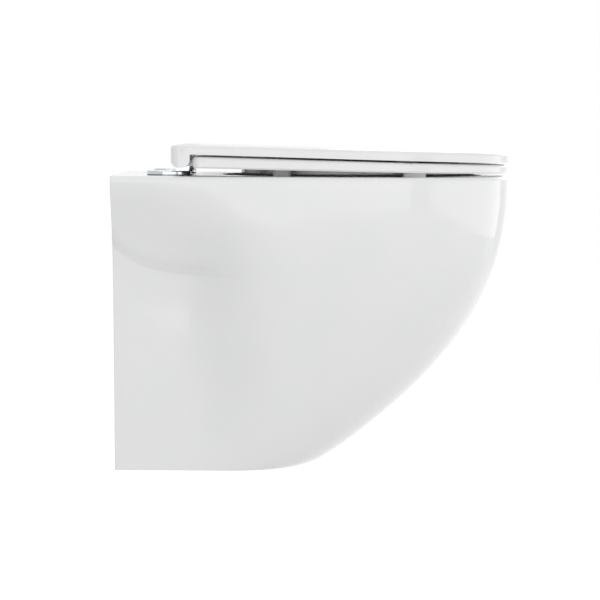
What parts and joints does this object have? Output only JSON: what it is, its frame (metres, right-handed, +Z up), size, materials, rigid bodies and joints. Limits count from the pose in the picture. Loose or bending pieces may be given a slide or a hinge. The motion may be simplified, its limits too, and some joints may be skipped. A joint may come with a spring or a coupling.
{
  "type": "wall hung toilet",
  "caption": "Wall hung ceramic toilet pan with an open bowl, a hidden trap, and a thin hinged seat and lid that close softly on chrome hinge feet.",
  "frame": {"origin": "midway between the two wall bolts, on the face of the wall", "axes": "+X to the right of a person who faces the wall, +Y into the wall, +Z up"},
  "size_m": [0.3599, 0.4905, 0.4034],
  "materials": {
    "ceramic": "glossy white glaze",
    "duroplast": "glossy white thermoset",
    "chrome": "polished chrome",
    "steel": "plain stainless steel",
    "brass": "turned brass",
    "rubber": "black moulded rubber",
    "bumper": "soft white elastomer",
    "nylon": "natural moulded nylon"
  },
  "bodies": {
    "pan": {"pan_body": "ceramic", "fixing_bushes": "nylon", "foot_gaskets": "rubber", "foot_caps": "chrome", "foot_screws": "steel", "expansion_dowels": "rubber", "dowel_nuts": "brass", "hinge_foot_left": "chrome", "hinge_foot_right": "chrome", "damper_cartridge_left": "nylon", "damper_cartridge_right": "nylon"},
    "seat": {"seat_ring": "duroplast", "seat_bracket_left": "steel", "seat_bracket_right": "steel", "bracket_screws": "steel", "seat_bearings": "nylon", "seat_bumper_front_left": "bumper", "seat_bumper_front_right": "bumper", "seat_bumper_rear_left": "bumper", "seat_bumper_rear_right": "bumper", "hinge_pin_right": "steel"},
    "lid": {"lid": "duroplast", "lid_bearings": "nylon", "lid_bumper_left": "bumper", "lid_bumper_right": "bumper", "hinge_pin_left": "steel"}
  },
  "joints": [
    {"name": "seat_hinge", "type": "hinge", "parent": "pan", "child": "seat", "pos_m": [0, -0.084, 0.1035], "axis": [-1, 0, 0], "range_deg": [0, 92]},
    {"name": "lid_hinge", "type": "hinge", "parent": "seat", "child": "lid", "pos_m": [0, -0.084, 0.1035], "axis": [-1, 0, 0], "range_deg": [0, 92]}
  ]
}
